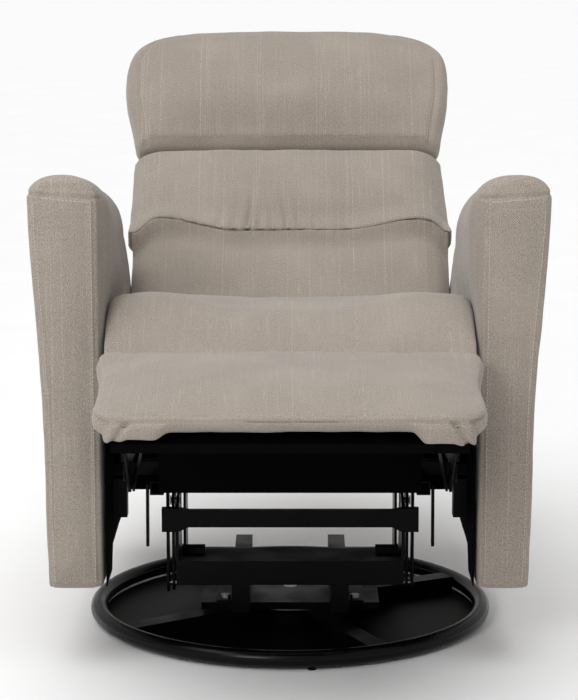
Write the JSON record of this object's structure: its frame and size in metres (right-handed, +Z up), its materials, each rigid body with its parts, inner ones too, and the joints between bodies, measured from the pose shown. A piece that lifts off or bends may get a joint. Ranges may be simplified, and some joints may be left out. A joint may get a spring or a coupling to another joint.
{
  "type": "swivel glider recliner chair",
  "caption": "Upholstered nursery glider on a round swivel base, with a reclining back and a fold-out footrest, shown fully reclined.",
  "frame": {"origin": "on the floor at the centre of the swivel ring", "axes": "+Z up along the swivel axis, -Y towards the front of the chair, +X to the right when facing the chair"},
  "size_m": [0.716, 1.3838, 0.8676],
  "materials": {
    "black_steel": "black powder coat",
    "zinc_steel": "zinc plated, slightly worn",
    "spring_steel": "oiled spring wire",
    "black_plastic": "moulded, fine grain",
    "rubber": "matt rubber",
    "timber": "sawn plywood and softwood, unfinished",
    "black_board": "black non-woven cloth over board",
    "webbing": "elastic webbing",
    "upholstery": "greige diagonal-weave upholstery cloth with light slubs"
  },
  "bodies": {
    "base": {"base_ring": "black_steel", "base_glides": "black_plastic", "base_legs": "black_steel", "base_hub": "black_steel", "base_floor_pan": "black_plastic", "swivel_lower_race": "zinc_steel", "swivel_balls": "zinc_steel"},
    "turntable": {"swivel_plate": "black_steel", "swivel_upper_race": "zinc_steel", "swivel_pin": "zinc_steel", "swivel_bolts": "zinc_steel", "base_rails": "black_steel", "lower_beams": "black_steel", "upper_ties": "black_steel", "stands_front": "black_steel", "stands_rear": "black_steel", "stand_pins": "zinc_steel", "glide_bumpers": "rubber"},
    "glide_front": {"glide_links_front": "black_steel"},
    "glide_rear": {"glide_links_rear": "black_steel"},
    "carrier": {"hangers_front": "black_steel", "hangers_rear": "black_steel", "hanger_pins": "zinc_steel", "carrier_side_rails": "black_steel", "carrier_cross_tubes": "black_steel", "recliner_side_plates": "black_steel", "rear_stretcher": "black_board", "arm_cleats": "black_board", "arm_bolts": "zinc_steel", "arm_panel_left": "timber", "arm_panel_right": "timber", "arm_left": "upholstery", "arm_right": "upholstery", "release_cup": "black_plastic", "seat_pivot_rivets": "zinc_steel"},
    "seat": {"seat_link_plates": "black_steel", "seat_rivets": "zinc_steel", "seat_side_rails": "black_board", "seat_cross_rails": "timber", "seat_springs": "spring_steel", "front_board": "black_board", "seat_cushion": "upholstery"},
    "back": {"back_brackets": "black_steel", "back_posts": "timber", "back_rails": "timber", "back_webbing": "webbing", "back_shell": "upholstery", "lower_back_cushion": "upholstery", "lumbar_cushion": "upholstery", "head_cushion": "upholstery"},
    "cranks": {"footrest_cranks": "black_steel", "footrest_cross_tube": "black_steel"},
    "outer_links": {"footrest_outer_links": "black_steel"},
    "cross_links": {"footrest_cross_links": "black_steel"},
    "stay_links": {"footrest_stay_links": "black_steel"},
    "footrest": {"footrest_brackets": "black_steel", "footrest_board": "black_board", "footrest_pad": "upholstery"},
    "paddle": {"release_paddle": "black_plastic"},
    "lock": {"glide_lock_arms": "black_steel"}
  },
  "joints": [
    {"name": "swivel", "type": "hinge", "parent": "base", "child": "turntable", "pos_m": [0, 0, 0.031], "axis": [0, 0, 1], "continuous": true},
    {"name": "glide", "type": "hinge", "parent": "turntable", "child": "glide_front", "pos_m": [0, -0.1, 0.2], "axis": [1, 0, 0], "range_deg": [-14.5, 14.5]},
    {"name": "glide_rear_links", "type": "hinge", "parent": "turntable", "child": "glide_rear", "pos_m": [0, 0.1, 0.2], "axis": [1, 0, 0], "range_deg": [-14.5, 14.5]},
    {"name": "glide_carrier", "type": "hinge", "parent": "glide_front", "child": "carrier", "pos_m": [0, -0.1, 0.075], "axis": [1, 0, 0], "range_deg": [-14.5, 14.5]},
    {"name": "seat_tilt", "type": "hinge", "parent": "carrier", "child": "seat", "pos_m": [0, -0.15, 0.33], "axis": [1, 0, 0], "range_deg": [0, 7.01]},
    {"name": "recline", "type": "hinge", "parent": "seat", "child": "back", "pos_m": [0, 0.225, 0.345], "axis": [1, 0, 0], "range_deg": [0, 26]},
    {"name": "footrest_fold", "type": "hinge", "parent": "seat", "child": "cranks", "pos_m": [0, -0.2, 0.325], "axis": [1, 0, 0], "range_deg": [0, 86.79]},
    {"name": "footrest_outer", "type": "hinge", "parent": "cranks", "child": "outer_links", "pos_m": [0, -0.35775, 0.29825], "axis": [1, 0, 0], "range_deg": [-107.11, 0]},
    {"name": "footrest_pad_turn", "type": "hinge", "parent": "outer_links", "child": "footrest", "pos_m": [0, -0.45, 0.375], "axis": [1, 0, 0], "range_deg": [0, 105.33]},
    {"name": "footrest_cross", "type": "hinge", "parent": "seat", "child": "cross_links", "pos_m": [0, -0.167, 0.294], "axis": [1, 0, 0], "range_deg": [0, 86.17]},
    {"name": "footrest_stay", "type": "hinge", "parent": "cranks", "child": "stay_links", "pos_m": [0, -0.3214, 0.3136], "axis": [1, 0, 0], "range_deg": [-106.8, 0]},
    {"name": "release", "type": "hinge", "parent": "carrier", "child": "paddle", "pos_m": [-0.347, -0.025, 0.519], "axis": [0, 1, 0], "range_deg": [0, 25], "stiffness_Nm_per_rad": 0.4},
    {"name": "lock_swing", "type": "hinge", "parent": "carrier", "child": "lock", "pos_m": [0, -0.162, 0.235], "axis": [1, 0, 0], "range_deg": [0, 20.01]}
  ],
  "couplings": [
    {"joint": "glide_rear_links", "follows": "glide", "ratio": 1},
    {"joint": "glide_carrier", "follows": "glide", "ratio": -1},
    {"joint": "seat_tilt", "follows": "recline", "ratio": 0.26923},
    {"joint": "footrest_outer", "follows": "footrest_fold", "ratio": -1.2341},
    {"joint": "footrest_pad_turn", "follows": "footrest_fold", "ratio": 1.2135},
    {"joint": "footrest_cross", "follows": "footrest_fold", "ratio": 0.99272},
    {"joint": "footrest_stay", "follows": "footrest_fold", "ratio": -1.2305},
    {"joint": "lock_swing", "follows": "footrest_fold", "ratio": 0.23044}
  ]
}
